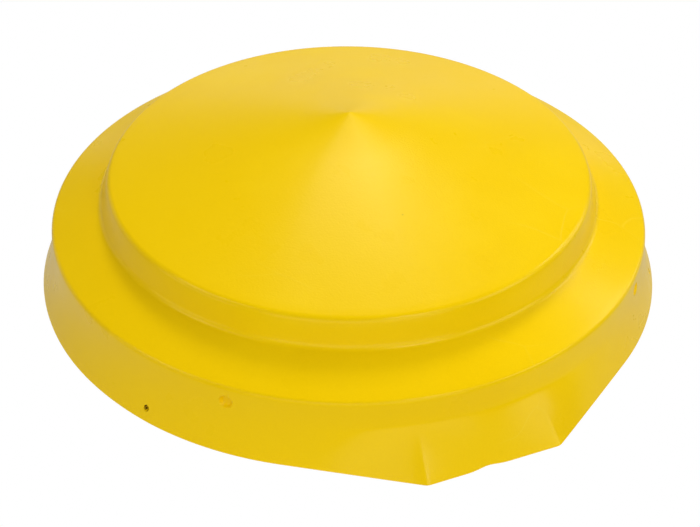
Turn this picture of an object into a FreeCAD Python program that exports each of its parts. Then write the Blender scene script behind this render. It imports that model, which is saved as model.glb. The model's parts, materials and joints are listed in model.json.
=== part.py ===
import FreeCAD, Part
import math
import os
import Sketcher

# In-ground retractable bollard, seen lowered, in millimetres with +Z up.
# The origin is on the bollard's axis at paving level. The ground sleeve hangs below its flange, the
# post stands lowered inside it, and the stepped yellow hood caps the post head and covers the flange.
# The lock, and the flat pad of the hood's skirt that clears it, are on the -Y side.

SIZES = [
    # hood: outline of the outside, from the skirt's bottom edge to the point
    ("hood_base_radius", 200),
    ("hood_edge_radius", 191),
    ("hood_edge_height", 42.6),
    ("hood_foot_radius", 159),
    ("hood_foot_height", 56.5),
    ("hood_rim_radius", 153.4),
    ("hood_rim_height", 73.8),
    ("hood_tip_radius", 20),
    ("hood_tip_height", 109.2),
    ("hood_height", 116),
    ("hood_wall", 3.5),
    # hood: flat-faced pad on the skirt, its drilled holes and its spot marks
    ("pad_half_width", 42.5),
    ("pad_stand_out", 13.6),
    ("pad_fold_height", 25),
    ("seal_hole_radius", 2),
    ("seal_hole_height", 8),
    ("seal_hole_angle", 60.7),
    ("mark_radius", 4),
    ("mark_depth", 1.5),
    ("mark_height", 32.4),
    # locating ring bonded inside the hood
    ("locator_bore_radius", 118),
    ("locator_low", 38),
    ("locator_top", 66),
    ("locator_clearance", 0.6),
    ("seat_gap", 0.2),
    # post
    ("post_radius", 136.5),
    ("post_wall", 5),
    ("post_top", 40),
    ("post_bottom", 660),
    ("post_travel", 500),
    ("head_thickness", 10),
    ("head_ring_width", 21),
    ("head_ring_height", 12),
    ("head_screw_circle", 121),
    ("band_thickness", 0.3),
    ("band_height", 50),
    ("band_first", 130),
    ("band_spacing", 120),
    ("lower_ring_height", 40),
    ("lower_ring_radius", 144.6),
    # lifting recess in the head plate
    ("cup_radius", 61),
    ("cup_wall", 3),
    ("cup_floor", 14),
    ("lift_bar_radius", 8),
    ("lift_bar_height", 36),
    # ground sleeve
    ("sleeve_radius", 150),
    ("sleeve_wall", 5),
    ("sleeve_bottom", 715),
    ("base_thickness", 10),
    ("drain_radius", 25),
    ("drain_wall", 3),
    ("drain_length", 45),
    ("drain_offset", 80),
    ("flange_radius", 184),
    ("flange_thickness", 10),
    ("anchor_circle", 172),
    ("anchor_hole_radius", 5.5),
    ("lug_half_width", 33),
    ("lug_reach", 193),
    ("rail_width", 12),
    ("rail_depth", 5),
    ("rail_clearance", 0.4),
    ("stop_ring_height", 10),
    ("stop_gap", 1),
    ("stopper_height", 15),
    ("stopper_radius", 15),
    # guide bush, wiper and retainer at the top of the sleeve
    ("bush_clearance", 0.7),
    ("bush_length", 30),
    ("collar_radius", 150),
    ("collar_thickness", 4),
    ("wiper_thickness", 6),
    ("retainer_radius", 160),
    ("retainer_lip_radius", 141),
    ("retainer_lip", 3),
    ("retainer_screw_circle", 155.2),
    # lock
    ("lock_offset", 178),
    ("plug_radius", 9),
    ("plug_fit", 0.05),
    ("housing_radius", 12),
    ("housing_head_radius", 13),
    ("housing_head", 3),
    ("cam_radius", 25.5),
    ("cam_thickness", 8),
    ("cam_top", 24),
    ("cam_slot_start", 8.5),
    ("bolt_throw", 12),
    ("cam_pin_radius", 3),
    ("cam_slot_clearance", 0.3),
    ("bolt_half_width", 12),
    ("bolt_height", 14),
    ("bolt_top", 40),
    ("bolt_length", 50),
    ("bolt_stand_off", 2.5),
    ("bolt_clearance", 0.4),
    ("box_half_width", 33),
    ("box_reach", 207),
    ("box_depth", 66),
    ("box_wall", 3),
    # flap over the key barrel
    ("flap_half_width", 13),
    ("flap_thickness", 2),
    ("flap_low", 15),
    ("flap_hinge_offset", 163.5),
    ("flap_end", 190),
    ("hinge_pin_radius", 1.5),
    # gas strut on the axis
    ("strut_radius", 20),
    ("strut_wall", 2.5),
    ("strut_top", 150),
    ("rod_radius", 8),
    ("rod_top", 28),
    ("rod_bottom", 690),
    ("crossbar_top", 40),
    ("crossbar_height", 15),
    ("crossbar_width", 40),
]

ANCHOR_COUNT = 6
HEAD_SCREW_COUNT = 6
RETAINER_SCREW_COUNT = 8
STOPPER_COUNT = 3
BAND_COUNT = 3
QUARTER_TURN = 90
PAD_DIRECTION = -90
SPIRAL_STEPS = 12

doc = FreeCAD.newDocument("retractable_bollard")
sizes = doc.addObject("Spreadsheet::Sheet", "sizes")
for row, (alias, value) in enumerate(SIZES, start=1):
    sizes.set(f"A{row}", alias)
    sizes.set(f"B{row}", str(value))
    sizes.setAlias(f"B{row}", alias)
doc.recompute()

nodes = []


def size(expression):
    """The number that an expression of the sheet's cells has now."""
    return float(sizes.evalExpression(expression))


def node(piece, label):
    """Marks a finished sub-part: its Label names its file."""
    piece.Label = label
    nodes.append(piece)
    return piece


def put(piece, place):
    """Binds where a piece stands to the sheet."""
    for axis, expression in zip("xyz", place):
        piece.setExpression(f".Placement.Base.{axis}", expression)
    return piece


def box(name, length, width, height, place):
    """A block from its lowest corner."""
    piece = doc.addObject("Part::Box", name)
    piece.setExpression("Length", length)
    piece.setExpression("Width", width)
    piece.setExpression("Height", height)
    return put(piece, place)


def centred_box(name, half_width, low_y, high_y, low_z, high_z):
    """A block that is symmetrical about the YZ plane."""
    return box(
        name,
        f"2 * ({half_width})",
        f"({high_y}) - ({low_y})",
        f"({high_z}) - ({low_z})",
        (f"-({half_width})", low_y, low_z),
    )


def rod(name, radius, length, place, direction=(0, 0, 1)):
    """A round bar from place along direction."""
    piece = doc.addObject("Part::Cylinder", name)
    piece.setExpression("Radius", radius)
    piece.setExpression("Height", length)
    piece.Placement.Rotation = FreeCAD.Rotation(FreeCAD.Vector(0, 0, 1), FreeCAD.Vector(*direction))
    return put(piece, place)


def polar(radius, angle):
    """Expressions for the X and Y of a point on a circle round the axis."""
    return f"{radius} * cos({angle})", f"{radius} * sin({angle})"


def join(name, pieces):
    """Several pieces as one solid, or as a group where they don't touch."""
    result = doc.addObject("Part::MultiFuse", name)
    result.Shapes = pieces
    result.Refine = True
    return result


def cut(name, base, tools):
    """The base less all the tools."""
    result = doc.addObject("Part::Cut", name)
    result.Base = base
    result.Tool = tools[0] if len(tools) == 1 else join(f"{name}_tools", tools)
    result.Refine = True
    return result


def draw(sketch, corners):
    """A closed outline through corners, each pinned to the sheet by two expressions."""
    last = len(corners) - 1
    points = [FreeCAD.Vector(size(x), size(y), 0) for x, y in corners]
    for index, point in enumerate(points):
        following = points[0 if index == last else index + 1]
        sketch.addGeometry(Part.LineSegment(point, following), False)
    for index, corner in enumerate(corners):
        following = 0 if index == last else index + 1
        sketch.addConstraint(Sketcher.Constraint("Coincident", index, 2, following, 1))
        for kind, expression, axis in zip(("DistanceX", "DistanceY"), corner, (-2, -1)):
            if expression == "0":
                sketch.addConstraint(Sketcher.Constraint("PointOnObject", index, 1, axis))
                continue
            pin = Sketcher.Constraint(kind, -1, 1, index, 1, size(expression))
            number = sketch.addConstraint(pin)
            sketch.setExpression(f"Constraints[{number}]", expression)


def turned(name, corners):
    """A body revolved about the bollard's axis from an outline of (radius, height) corners."""
    body = doc.addObject("PartDesign::Body", name)
    sketch = body.newObject("Sketcher::SketchObject", f"{name}_outline")
    plane = next(o for o in body.Origin.OriginFeatures if o.Role == "XZ_Plane")
    sketch.AttachmentSupport = [(plane, "")]
    sketch.MapMode = "FlatFace"
    draw(sketch, corners)
    revolution = body.newObject("PartDesign::Revolution", f"{name}_turning")
    revolution.Profile = sketch
    revolution.ReferenceAxis = (sketch, ["V_Axis"])
    revolution.Angle = 360
    return body


def ring(name, inner, outer, low, high):
    """A plain turned ring, or a disc where the inner radius is 0."""
    return turned(name, [(inner, low), (outer, low), (outer, high), (inner, high)])


def screws(name, count, circle, first_angle, radius, low, seat, top, head_radius):
    """A circle of vertical screws: shanks from low to seat and heads from seat to top."""
    pieces = []
    for index in range(count):
        x, y = polar(circle, first_angle + index * 360 / count)
        pieces.append(rod(f"{name}_shank", radius, f"({seat}) - ({low})", (x, y, low)))
        pieces.append(rod(f"{name}_head", head_radius, f"({top}) - ({seat})", (x, y, seat)))
    return join(name, pieces)


def holes(name, count, circle, first_angle, radius, low, high):
    """A circle of vertical holes, as the rods that cut them."""
    pieces = []
    for index in range(count):
        x, y = polar(circle, first_angle + index * 360 / count)
        pieces.append(rod(f"{name}_hole", radius, f"({high}) - ({low})", (x, y, low)))
    return pieces


# ---------------------------------------------------------------- hood


def skirt_wire(circle_radius, inset, height):
    """The skirt's closed line at a height: the pad's three straight sides at the bottom edge, and a
    plain circle where inset is None, both split at the same four bearings."""
    base = size("sizes.hood_base_radius")
    full_reach = base + size("sizes.pad_stand_out")
    reach = full_reach - (inset or 0)
    half_width = size("sizes.pad_half_width")
    outer_corner = math.hypot(half_width, full_reach)
    corner_angle = math.atan2(half_width, full_reach)
    tangent_angle = corner_angle + math.acos(base / outer_corner)

    def on_circle(angle):
        return FreeCAD.Vector(circle_radius * math.sin(angle), -circle_radius * math.cos(angle), height)

    def arc(start, end):
        return Part.Arc(on_circle(start), on_circle((start + end) / 2), on_circle(end)).toShape()

    bearings = [-tangent_angle, -corner_angle, corner_angle, tangent_angle]
    back = arc(tangent_angle, 2 * math.pi - tangent_angle)
    if inset is None:
        front = [arc(start, end) for start, end in zip(bearings, bearings[1:])]
        return Part.Wire(front + [back])
    corner_x = (circle_radius - reach * math.cos(tangent_angle)) / math.sin(tangent_angle)
    points = [
        on_circle(-tangent_angle),
        FreeCAD.Vector(-corner_x, -reach, height),
        FreeCAD.Vector(corner_x, -reach, height),
        on_circle(tangent_angle),
    ]
    front = [Part.LineSegment(start, end).toShape() for start, end in zip(points, points[1:])]
    return Part.Wire(front + [back])


def skirt_block(name, inset):
    """The lower skirt with its pad as a solid: straight-ruled from the pad's outline at the bottom
    edge to a plain circle at the fold."""
    base = size("sizes.hood_base_radius")
    draft = (base - size("sizes.hood_edge_radius")) / size("sizes.hood_edge_height")
    fold = size("sizes.pad_fold_height")
    bottom = skirt_wire(base - inset, inset, 0)
    # the inner skin is the outer one moved in and down, so its cone starts lower
    fold_radius = base - inset - draft * (fold + inset * (inset > 0))
    start_radius = base - inset - draft * inset * (inset > 0)
    if inset > 0:
        bottom = skirt_wire(start_radius, inset, 0)
    top = skirt_wire(fold_radius, None, fold)
    piece = doc.addObject("Part::Feature", name)
    piece.Shape = Part.makeLoft([bottom, top], True, True)
    return piece


def upper_skin(name, wall):
    """The hood above the pad's fold as a turned solid, moved in and down by a wall thickness."""
    draft = "(sizes.hood_base_radius - sizes.hood_edge_radius) / sizes.hood_edge_height"
    fold_radius = f"sizes.hood_base_radius - {wall} - {draft} * (sizes.pad_fold_height + {wall})"
    outline = [("0", "sizes.pad_fold_height"), (fold_radius, "sizes.pad_fold_height")]
    for point in ("edge", "foot", "rim", "tip"):
        outline.append((f"sizes.hood_{point}_radius - {wall}", f"sizes.hood_{point}_height - {wall}"))
    outline.append(("0", f"sizes.hood_height - {wall}"))
    return turned(name, outline)


def radial(name, radius, start, length, angle, height):
    """A bar that points straight out from the axis at a bearing from +X."""
    heading = math.radians(angle)
    x, y = polar(start, angle)
    return rod(name, radius, length, (x, y, height), (math.cos(heading), math.sin(heading), 0))


def make_hood():
    outside = join("hood_outside", [skirt_block("hood_skirt_out", 0), upper_skin("hood_top_out", "0")])
    inset = size("sizes.hood_wall")
    inner_pieces = [skirt_block("hood_skirt_in", inset), upper_skin("hood_top_in", "sizes.hood_wall")]
    inside = join("hood_inside", inner_pieces)
    drillings = []
    for side in (-1, 1):
        angle = PAD_DIRECTION + side * size("sizes.seal_hole_angle")
        drillings.append(
            radial("seal_hole", "sizes.seal_hole_radius", "sizes.hood_edge_radius - 10", "30", angle,
                   "sizes.seal_hole_height")
        )
    draft = "(sizes.hood_base_radius - sizes.hood_edge_radius) / sizes.hood_edge_height"
    surface = f"(sizes.hood_base_radius - {draft} * sizes.mark_height)"
    for index in range(4):
        angle = PAD_DIRECTION + 45 + index * QUARTER_TURN
        drillings.append(
            radial("spot_mark", "sizes.mark_radius", f"({surface} - sizes.mark_depth)", "10", angle,
                   "sizes.mark_height")
        )
    return node(cut("hood_piece", outside, [inside] + drillings), "hood")


def make_locating_ring():
    """A moulded ring bonded under the hood's upper step, which drops over the post's head plate."""
    foot_x = "sizes.hood_foot_radius - sizes.hood_wall"
    foot_y = "sizes.hood_foot_height - sizes.hood_wall"
    lean = (
        "(sizes.hood_foot_radius - sizes.hood_rim_radius) / (sizes.hood_rim_height - sizes.hood_foot_height)"
    )
    seat = "sizes.post_top + sizes.head_thickness + sizes.seat_gap"
    outline = [
        ("sizes.post_radius + sizes.locator_clearance", "sizes.locator_low"),
        ("sizes.hood_foot_radius - 10", "sizes.locator_low"),
        (foot_x, foot_y),
        (f"{foot_x} - {lean} * (sizes.locator_top - ({foot_y}))", "sizes.locator_top"),
        ("sizes.post_radius + 8", "sizes.locator_top"),
        ("sizes.locator_bore_radius", f"{seat} + 8"),
        ("sizes.locator_bore_radius", seat),
        ("sizes.post_radius + sizes.locator_clearance", seat),
    ]
    return node(turned("locating_ring_piece", outline), "hood_locating_ring")


# ---------------------------------------------------------------- post


def bolt_slot(name, centre, low_y, high_y):
    """The opening that the lock bolt enters, as the block that cuts it."""
    gap = "sizes.bolt_clearance"
    return centred_box(
        name, f"sizes.bolt_half_width + {gap}", low_y, high_y,
        f"({centre}) - sizes.bolt_height / 2 - {gap}", f"({centre}) + sizes.bolt_height / 2 + {gap}",
    )


BOLT_CENTRE = "-(sizes.bolt_top + sizes.bolt_height / 2)"


def make_post():
    tube = ring("post_bare", "sizes.post_radius - sizes.post_wall", "sizes.post_radius",
                "-sizes.post_bottom", "sizes.post_top")
    outer_y, inner_y = "-sizes.post_radius - 5", "-sizes.post_radius + 20"
    slots = [
        bolt_slot("slot_lowered", BOLT_CENTRE, outer_y, inner_y),
        bolt_slot("slot_raised", f"{BOLT_CENTRE} - sizes.post_travel", outer_y, inner_y),
    ]
    node(cut("post_piece", tube, slots), "post_tube")
    head_low, head_top = "sizes.post_top", "sizes.post_top + sizes.head_thickness"
    bore = "sizes.post_radius - sizes.post_wall"
    threads = holes("head_thread", HEAD_SCREW_COUNT, "sizes.head_screw_circle", 0, "4",
                    "sizes.post_top - sizes.head_ring_height", "sizes.post_top")
    weld_ring = ring("head_ring_bare", f"{bore} - sizes.head_ring_width", bore,
                     "sizes.post_top - sizes.head_ring_height", "sizes.post_top")
    node(cut("head_ring_piece", weld_ring, threads), "head_mounting_ring")
    plate = ring("head_plate_bare", "sizes.cup_radius", "sizes.post_radius", head_low, head_top)
    clearance = holes("head_clearance", HEAD_SCREW_COUNT, "sizes.head_screw_circle", 0, "4", head_low,
                      f"{head_top} - 5")
    sinks = holes("head_sink", HEAD_SCREW_COUNT, "sizes.head_screw_circle", 0, "7.5",
                  f"{head_top} - 5", head_top)
    node(cut("head_plate_piece", plate, clearance + sinks), "head_plate")
    fixings = screws("head_screw", HEAD_SCREW_COUNT, "sizes.head_screw_circle", 0, "4",
                     "sizes.post_top - sizes.head_ring_height", f"{head_top} - 5", head_top, "7.5")
    node(fixings, "head_screws")
    for index in range(BAND_COUNT):
        low = f"-sizes.band_first - {index} * sizes.band_spacing"
        band = ring(f"band_{index}", "sizes.post_radius", "sizes.post_radius + sizes.band_thickness",
                    low, f"{low} + sizes.band_height")
        node(band, f"reflective_band_{index + 1}")


def make_lifting_recess():
    """A cup let into the head plate, with a bar across it to lift the post by."""
    top = "sizes.post_top + sizes.head_thickness"
    inner = "sizes.cup_radius - sizes.cup_wall"
    cup = turned("cup_bare", [
        ("0", "-sizes.cup_floor"), ("sizes.cup_radius", "-sizes.cup_floor"), ("sizes.cup_radius", top),
        (inner, top), (inner, "-sizes.cup_floor + sizes.cup_wall"),
        ("0", "-sizes.cup_floor + sizes.cup_wall"),
    ])
    drain = rod("cup_drain", "4", "sizes.cup_wall", ("40", "0", "-sizes.cup_floor"))
    node(cut("cup_piece", cup, [drain]), "lifting_cup")
    bar = rod("bar_bare", "sizes.lift_bar_radius", "2 * sizes.cup_radius",
              ("-sizes.cup_radius", "0", "sizes.lift_bar_height"), (1, 0, 0))
    mouth = rod("bar_trim", inner, "200", ("0", "0", "-50"))
    trimmed = doc.addObject("Part::Common", "bar_piece")
    trimmed.Base = bar
    trimmed.Tool = mouth
    node(trimmed, "lifting_bar")


def make_lower_ring():
    """The sliding ring on the post's foot, notched for the sleeve's rail."""
    bare = ring("lower_ring_bare", "sizes.post_radius", "sizes.lower_ring_radius", "-sizes.post_bottom",
                "-sizes.post_bottom + sizes.lower_ring_height")
    bore = "sizes.sleeve_radius - sizes.sleeve_wall"
    notch = centred_box(
        "rail_notch", "sizes.rail_width / 2 + sizes.rail_clearance",
        f"{bore} - sizes.rail_depth - sizes.rail_clearance", f"{bore} + 5",
        "-sizes.post_bottom", "-sizes.post_bottom + sizes.lower_ring_height",
    )
    node(cut("lower_ring_piece", bare, [notch]), "lower_guide_ring")


# ---------------------------------------------------------------- ground sleeve


def make_sleeve():
    bore = "sizes.sleeve_radius - sizes.sleeve_wall"
    tube = ring("sleeve_bare", bore, "sizes.sleeve_radius", "-sizes.sleeve_bottom", "0")
    slot = bolt_slot("sleeve_slot", BOLT_CENTRE, "-sizes.sleeve_radius - 5", f"-({bore}) + 10")
    node(cut("sleeve_piece", tube, [slot]), "ground_sleeve")
    disc = ring("flange_disc", bore, "sizes.flange_radius", "0", "sizes.flange_thickness")
    tongue = centred_box("flange_tongue", "sizes.lug_half_width", "-sizes.lug_reach",
                         "-sizes.sleeve_radius", "0", "sizes.flange_thickness")
    openings = holes("anchor", ANCHOR_COUNT, "sizes.anchor_circle", 0, "sizes.anchor_hole_radius", "0",
                     "sizes.flange_thickness")
    openings += holes("retainer_thread", RETAINER_SCREW_COUNT, "sizes.retainer_screw_circle", 22.5, "3",
                      "0", "sizes.flange_thickness")
    openings.append(rod("lock_hole", "sizes.housing_radius", "sizes.flange_thickness",
                        ("0", "-sizes.lock_offset", "0")))
    node(cut("flange_piece", join("flange_bare", [disc, tongue]), openings), "ground_flange")
    floor_low = "-sizes.sleeve_bottom - sizes.base_thickness"
    floor = ring("base_bare", "0", "sizes.sleeve_radius", floor_low, "-sizes.sleeve_bottom")
    drain = rod("drain_hole", "sizes.drain_radius - sizes.drain_wall", "sizes.base_thickness",
                ("sizes.drain_offset", "0", floor_low))
    node(cut("base_piece", floor, [drain]), "base_plate")
    spout_low = f"{floor_low} - sizes.drain_length"
    spout = rod("spout_out", "sizes.drain_radius", "sizes.drain_length",
                ("sizes.drain_offset", "0", spout_low))
    spout_bore = rod("spout_in", "sizes.drain_radius - sizes.drain_wall", "sizes.drain_length",
                     ("sizes.drain_offset", "0", spout_low))
    node(cut("spout_piece", spout, [spout_bore]), "drain_spigot")
    rail_top = "-sizes.post_bottom + sizes.lower_ring_height + sizes.post_travel"
    rail = centred_box("rail_block", "sizes.rail_width / 2", f"{bore} - sizes.rail_depth",
                       f"{bore} + 5", "-sizes.sleeve_bottom", rail_top)
    trimmed = doc.addObject("Part::Common", "rail_piece")
    trimmed.Base = rail
    trimmed.Tool = rod("rail_trim", bore, "sizes.sleeve_bottom", ("0", "0", "-sizes.sleeve_bottom"))
    node(trimmed, "guide_rail")
    stop_low = f"{rail_top} + sizes.stop_gap"
    stop = ring("stop_piece", "sizes.post_radius + 2", bore, stop_low,
                f"{stop_low} + sizes.stop_ring_height")
    node(stop, "stop_ring")
    stoppers = []
    stopper_circle = "(sizes.post_radius - sizes.post_wall / 2)"
    for index in range(STOPPER_COUNT):
        x, y = polar(stopper_circle, 30 + index * 360 / STOPPER_COUNT)
        stoppers.append(rod("stopper", "sizes.stopper_radius", "sizes.stopper_height",
                            (x, y, "-sizes.sleeve_bottom")))
    keep = rod("stopper_keep", f"{bore}", "sizes.sleeve_bottom", ("0", "0", "-sizes.sleeve_bottom"))
    pads = doc.addObject("Part::Common", "stopper_piece")
    pads.Base = join("stopper_group", stoppers)
    pads.Tool = keep
    node(pads, "bump_stops")


def make_sleeve_top():
    """The plastic guide bush, the rubber wiper over it and the ring that holds both down."""
    running = "sizes.post_radius + sizes.bush_clearance"
    flange = "sizes.flange_thickness"
    collar = f"{flange} + sizes.collar_thickness"
    wiper = f"{collar} + sizes.wiper_thickness"
    bush = turned("bush_piece", [
        (running, "-sizes.bush_length"), ("sizes.sleeve_radius - sizes.sleeve_wall", "-sizes.bush_length"),
        ("sizes.sleeve_radius - sizes.sleeve_wall", flange), ("sizes.collar_radius", flange),
        ("sizes.collar_radius", collar), (running, collar),
    ])
    node(bush, "upper_guide_bush")
    seal = turned("wiper_piece", [
        (f"{running} + 3", collar), ("sizes.collar_radius", collar), ("sizes.collar_radius", wiper),
        ("sizes.retainer_lip_radius", wiper), (running, f"{wiper} + 3"), (running, f"{wiper} + 1"),
    ])
    node(seal, "wiper_seal")
    lip = f"{wiper} + sizes.retainer_lip"
    retainer = turned("retainer_bare", [
        ("sizes.collar_radius", flange), ("sizes.retainer_radius", flange), ("sizes.retainer_radius", lip),
        ("sizes.retainer_lip_radius", lip), ("sizes.retainer_lip_radius", wiper),
        ("sizes.collar_radius", wiper),
    ])
    clearance = holes("retainer_hole", RETAINER_SCREW_COUNT, "sizes.retainer_screw_circle", 22.5, "3",
                      flange, lip)
    node(cut("retainer_piece", retainer, clearance), "seal_retainer")
    fixings = screws("retainer_screw", RETAINER_SCREW_COUNT, "sizes.retainer_screw_circle", 22.5, "3",
                     "0", lip, f"{lip} + 3.5", "5")
    node(fixings, "retainer_screws")


# ---------------------------------------------------------------- lock


def at_lock(height):
    """A point on the lock's upright axis."""
    return ("0", "-sizes.lock_offset", height)


def spiral_slot():
    """The cam's through slot: a band that follows a spiral whose radius grows evenly with the angle,
    by the bolt's throw in a quarter turn, with round ends."""
    start = size("sizes.cam_slot_start")
    growth = size("sizes.bolt_throw") / math.radians(QUARTER_TURN)
    half = size("sizes.cam_pin_radius + sizes.cam_slot_clearance")

    def point(angle, side):
        """On the slot's side line, at right angles to the spiral."""
        radius = start + growth * angle
        x, y = radius * math.sin(angle), radius * math.cos(angle)
        along_x = growth * math.sin(angle) + radius * math.cos(angle)
        along_y = growth * math.cos(angle) - radius * math.sin(angle)
        length = math.hypot(along_x, along_y)
        return FreeCAD.Vector(x + side * half * along_y / length, y - side * half * along_x / length, 0)

    def past(angle, sign):
        """The middle of a round end."""
        ends = [point(angle, -1), point(angle, 1)]
        middle = (ends[0] + ends[1]) * 0.5
        across = (ends[1] - ends[0]).normalize()
        return middle + FreeCAD.Vector(-across.y, across.x, 0) * half * sign

    full = math.radians(QUARTER_TURN)
    angles = [full * step / SPIRAL_STEPS for step in range(SPIRAL_STEPS + 1)]
    sides = []
    for side in (-1, 1):
        curve = Part.BSplineCurve()
        curve.interpolate([point(angle, side) for angle in angles])
        sides.append(curve.toShape())
    ends = []
    for angle, sign in ((0, -1), (full, 1)):
        ends.append(Part.Arc(point(angle, -1), past(angle, sign), point(angle, 1)).toShape())
    wire = Part.Wire(Part.__sortEdges__(sides + ends))
    slot = doc.addObject("Part::Feature", "cam_slot")
    slot.Shape = Part.Face(wire).extrude(FreeCAD.Vector(0, 0, size("sizes.cam_thickness")))
    slot.Placement.Base = FreeCAD.Vector(0, -size("sizes.lock_offset"), -size("sizes.cam_top + sizes.cam_thickness"))
    return slot


def make_barrel():
    flange = "sizes.flange_thickness"
    top = f"{flange} + sizes.housing_head"
    sleeve = rod("housing_body", "sizes.housing_radius", f"{flange} + 18", at_lock("-18"))
    head = rod("housing_head_disc", "sizes.housing_head_radius", "sizes.housing_head", at_lock(flange))
    bore = rod("housing_bore", "sizes.plug_radius + sizes.plug_fit", "60", at_lock("-30"))
    node(cut("housing_piece", join("housing_bare", [sleeve, head]), [bore]), "barrel_housing")
    plug = rod("plug_bare", "sizes.plug_radius", f"{top} + sizes.cam_top", at_lock("-sizes.cam_top"))
    keyway = centred_box("keyway", "1.3", "-sizes.lock_offset - 6", "-sizes.lock_offset + 6",
                         f"{top} - 16", top)
    thread = rod("plug_thread", "2.5", "12", at_lock("-sizes.cam_top"))
    node(cut("plug_piece", plug, [keyway, thread]), "key_barrel")
    cam_low = "-sizes.cam_top - sizes.cam_thickness"
    disc = rod("cam_bare", "sizes.cam_radius", "sizes.cam_thickness", at_lock(cam_low))
    hole = rod("cam_hole", "2.5", "sizes.cam_thickness", at_lock(cam_low))
    sink = rod("cam_sink", "4.5", "3", at_lock(cam_low))
    node(cut("cam_piece", disc, [hole, sink, spiral_slot()]), "cam_disc")
    screw_head = rod("cam_screw_head", "4.5", "3", at_lock(cam_low))
    screw_shank = rod("cam_screw_shank", "2.5", "sizes.cam_thickness + 9", at_lock(f"{cam_low} + 3"))
    node(join("cam_screw_piece", [screw_head, screw_shank]), "cam_screw")


def make_bolt():
    tip = "-sizes.post_radius - sizes.bolt_stand_off"
    tail = f"{tip} - sizes.bolt_length"
    low, top = "-sizes.bolt_top - sizes.bolt_height", "-sizes.bolt_top"
    bar = centred_box("bolt_bare", "sizes.bolt_half_width", tail, tip, low, top)
    pin_y = "-sizes.lock_offset + sizes.cam_slot_start"
    pin_hole = rod("pin_hole", "sizes.cam_pin_radius", "8", ("0", pin_y, f"{top} - 8"))
    node(cut("bolt_piece", bar, [pin_hole]), "lock_bolt")
    pin = rod("pin_piece", "sizes.cam_pin_radius", "8 + sizes.bolt_top - sizes.cam_top - 1",
              ("0", pin_y, f"{top} - 8"))
    node(pin, "cam_pin")
    near, far = "-sizes.sleeve_radius - 3", "-sizes.lock_offset - 14"
    gap = "sizes.bolt_clearance"
    channel = centred_box("channel_block", "sizes.bolt_half_width + 9", far, near,
                          f"{low} - 5", f"{top} + {gap} + 3")
    way = centred_box("channel_way", f"sizes.bolt_half_width + {gap}", far, near, f"{low} - {gap}",
                      f"{top} + {gap}")
    mouth = centred_box("channel_mouth", "sizes.bolt_half_width - 4", far, near, low, f"{top} + 10")
    node(cut("channel_piece", channel, [way, mouth]), "bolt_guide")


def make_lock_box():
    """A welded box under the flange's lug, open to the sleeve, with a screwed floor."""
    wall = "sizes.box_wall"
    low = "-sizes.box_depth"
    block = centred_box("lock_box_block", "sizes.box_half_width", "-sizes.box_reach", "-100", low, "0")
    hollow = centred_box("lock_box_hollow", f"sizes.box_half_width - {wall}",
                         f"-sizes.box_reach + {wall}", "-100", low, "0")
    sleeve = rod("lock_box_round", "sizes.sleeve_radius", "200", ("0", "0", "-150"))
    thin = centred_box("lock_box_behind", "sizes.box_half_width", "-120", "-100", low, "0")
    node(cut("lock_box_piece", block, [hollow, sleeve, thin]), "lock_box")
    plate = centred_box("lock_floor_block", "sizes.box_half_width", "-sizes.box_reach", "-120",
                        f"{low} - {wall}", low)
    round_cut = rod("lock_floor_round", "sizes.sleeve_radius", "200", ("0", "0", "-150"))
    corners = []
    for side in (-1, 1):
        for y in ("-sizes.box_reach + 8", "-sizes.sleeve_radius - 8"):
            corners.append((f"{side} * (sizes.box_half_width - 8)", y))
    tapped = [rod("floor_hole", "2", wall, (x, y, f"{low} - {wall}")) for x, y in corners]
    node(cut("lock_floor_piece", plate, [round_cut] + tapped), "lock_box_floor")
    fixings = []
    for x, y in corners:
        fixings.append(rod("floor_shank", "2", wall, (x, y, f"{low} - {wall}")))
        fixings.append(rod("floor_head", "3.5", "2", (x, y, f"{low} - {wall} - 2")))
    node(join("floor_screw_group", fixings), "lock_floor_screws")


def make_flap():
    """The hinged flap that keeps rain and grit out of the key barrel, and its hinge."""
    low, high = "sizes.flap_low", "sizes.flap_low + sizes.flap_thickness"
    axis_z = "sizes.flap_low + sizes.flap_thickness / 2"
    hinge_y = "-sizes.flap_hinge_offset"
    leaf = centred_box("flap_leaf", "sizes.flap_half_width", "-sizes.flap_end", f"{hinge_y}", low, high)
    roll = rod("flap_roll", "2.5", "sizes.flap_half_width", ("-sizes.flap_half_width / 2", hinge_y, axis_z),
               (1, 0, 0))
    eye = rod("flap_eye", "sizes.hinge_pin_radius + 0.05", "40", ("-20", hinge_y, axis_z), (1, 0, 0))
    clear = []
    for side in (-1, 1):
        clear.append(
            box("flap_clear", "sizes.flap_half_width", "5", "6",
                (f"{side} * sizes.flap_half_width - sizes.flap_half_width / 2", f"{hinge_y} - 4.5",
                 f"{axis_z} - 3"))
        )
    node(cut("flap_piece", join("flap_bare", [leaf, roll]), [eye] + clear), "key_flap")
    pin = rod("flap_pin", "sizes.hinge_pin_radius", "2 * sizes.flap_half_width",
              ("-sizes.flap_half_width", hinge_y, axis_z), (1, 0, 0))
    node(pin, "flap_hinge_pin")
    lugs = []
    for side in (-1, 1):
        lugs.append(
            box("flap_lug", "sizes.flap_half_width / 2 - 0.5", "5", f"{axis_z} + 2.5 - sizes.flange_thickness",
                (f"{side} * (sizes.flap_half_width * 0.75 + 0.25) - (sizes.flap_half_width / 4 - 0.25)",
                 f"{hinge_y} - 2.5", "sizes.flange_thickness"))
        )
    node(cut("flap_lug_piece", join("flap_lug_pair", lugs), [
        rod("flap_lug_eye", "sizes.hinge_pin_radius", "40", ("-20", hinge_y, axis_z), (1, 0, 0))]),
        "flap_hinge_lugs")


# ---------------------------------------------------------------- gas strut


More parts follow.
